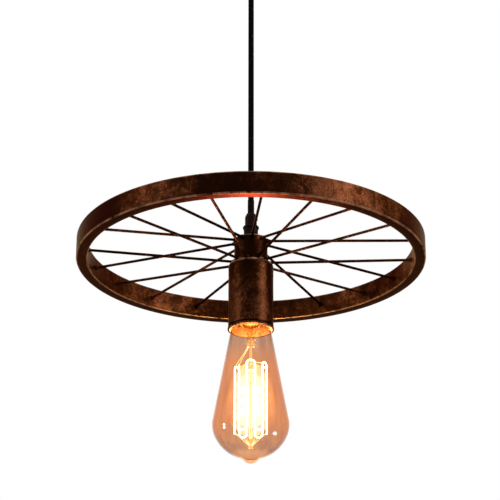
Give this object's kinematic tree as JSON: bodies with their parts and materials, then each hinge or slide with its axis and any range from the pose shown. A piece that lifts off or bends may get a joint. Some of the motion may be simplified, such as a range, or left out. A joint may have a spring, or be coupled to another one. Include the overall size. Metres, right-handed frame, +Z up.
{
  "type": "pendant lamp",
  "caption": "Industrial pendant lamp: a spoked steel wheel round a lamp cup with a screw-in filament bulb, hung on a cord from a ceiling canopy.",
  "frame": {"origin": "middle of the ceiling bracket's two screw slots, on the ceiling plane", "axes": "+Z up out of the ceiling face, X along the bracket, -Y towards the viewer of the picture"},
  "size_m": [0.3, 0.3, 0.5005],
  "materials": {
    "aged_copper_paint": "mottled rust and copper paint, satin, brighter where the edges are rubbed",
    "zinc_steel": "zinc plated",
    "white_plastic": "moulded",
    "black_grip": "moulded nylon",
    "cord_braid": "fine woven braid",
    "sleeve_rubber": "shrunk sleeve",
    "core_insulation": "smooth",
    "holder_plastic": "moulded phenolic",
    "brass": "pressed, slightly dulled",
    "bronze": "spring temper",
    "solder": "domed solder",
    "cap_insulator": "black glass",
    "amber_glass": "clear blown glass with an amber tint",
    "stem_glass": "clear",
    "support_wire": "drawn wire",
    "filament": "glowing coil"
  },
  "bodies": {
    "ceiling_fixing": {"ceiling_bracket": "zinc_steel", "canopy": "aged_copper_paint", "canopy_screws": "aged_copper_paint", "terminal_block": "white_plastic", "terminal_screws": "zinc_steel", "canopy_leads": "core_insulation", "upper_nipple": "zinc_steel", "upper_nipple_nut": "zinc_steel", "upper_grip_base": "black_grip", "upper_grip_cap": "black_grip", "upper_grip_screw": "black_grip", "cord_tail_canopy": "cord_braid"},
    "cord_bend": {"cord_bend": "cord_braid"},
    "cord": {"cord": "cord_braid"},
    "head": {"rim": "aged_copper_paint", "spoke_01": "aged_copper_paint", "spoke_02": "aged_copper_paint", "spoke_03": "aged_copper_paint", "spoke_04": "aged_copper_paint", "spoke_05": "aged_copper_paint", "spoke_06": "aged_copper_paint", "spoke_07": "aged_copper_paint", "spoke_08": "aged_copper_paint", "spoke_09": "aged_copper_paint", "spoke_10": "aged_copper_paint", "spoke_11": "aged_copper_paint", "spoke_12": "aged_copper_paint", "spoke_13": "aged_copper_paint", "spoke_14": "aged_copper_paint", "spoke_15": "aged_copper_paint", "spoke_16": "aged_copper_paint", "spoke_17": "aged_copper_paint", "spoke_18": "aged_copper_paint", "spoke_19": "aged_copper_paint", "spoke_20": "aged_copper_paint", "hub_shell": "aged_copper_paint", "lamp_cup": "aged_copper_paint", "lower_nipple": "zinc_steel", "lower_nipple_nut": "zinc_steel", "lower_grip_base": "black_grip", "lower_grip_cap": "black_grip", "lower_grip_screw": "black_grip", "cord_sleeve": "sleeve_rubber", "cord_tail_head": "cord_braid", "head_leads": "core_insulation", "holder_cap": "holder_plastic", "holder_core": "holder_plastic", "holder_body": "holder_plastic", "holder_terminals": "brass", "screw_shell": "brass", "centre_contact": "bronze"},
    "bulb_carrier": {"bulb_tip_contact": "solder"},
    "bulb": {"bulb_insulator": "cap_insulator", "bulb_cap": "brass", "bulb_glass": "amber_glass", "bulb_stem": "stem_glass", "bulb_wires": "support_wire", "bulb_filament": "filament"}
  },
  "joints": [
    {"name": "swing_front_back", "type": "hinge", "parent": "ceiling_fixing", "child": "cord_bend", "pos_m": [0, 0, -0.049], "axis": [1, 0, 0], "range_deg": [-25, 25]},
    {"name": "swing_side", "type": "hinge", "parent": "cord_bend", "child": "cord", "pos_m": [0, 0, -0.049], "axis": [0, 1, 0], "range_deg": [-25, 25]},
    {"name": "cord_twist", "type": "hinge", "parent": "cord", "child": "head", "pos_m": [0, 0, -0.277], "axis": [0, 0, 1], "range_deg": [-180, 180], "stiffness_Nm_per_rad": 0.002},
    {"name": "bulb_travel", "type": "slide", "parent": "head", "child": "bulb_carrier", "axis": [0, 0, -1], "range_m": [0, 0.014]},
    {"name": "bulb_turn", "type": "hinge", "parent": "bulb_carrier", "child": "bulb", "pos_m": [0, 0, -0.36], "axis": [0, 0, -1], "range_deg": [0, 1380]}
  ],
  "couplings": [
    {"joint": "bulb_travel", "follows": "bulb_turn", "m_per_rad": 0.0005775}
  ]
}
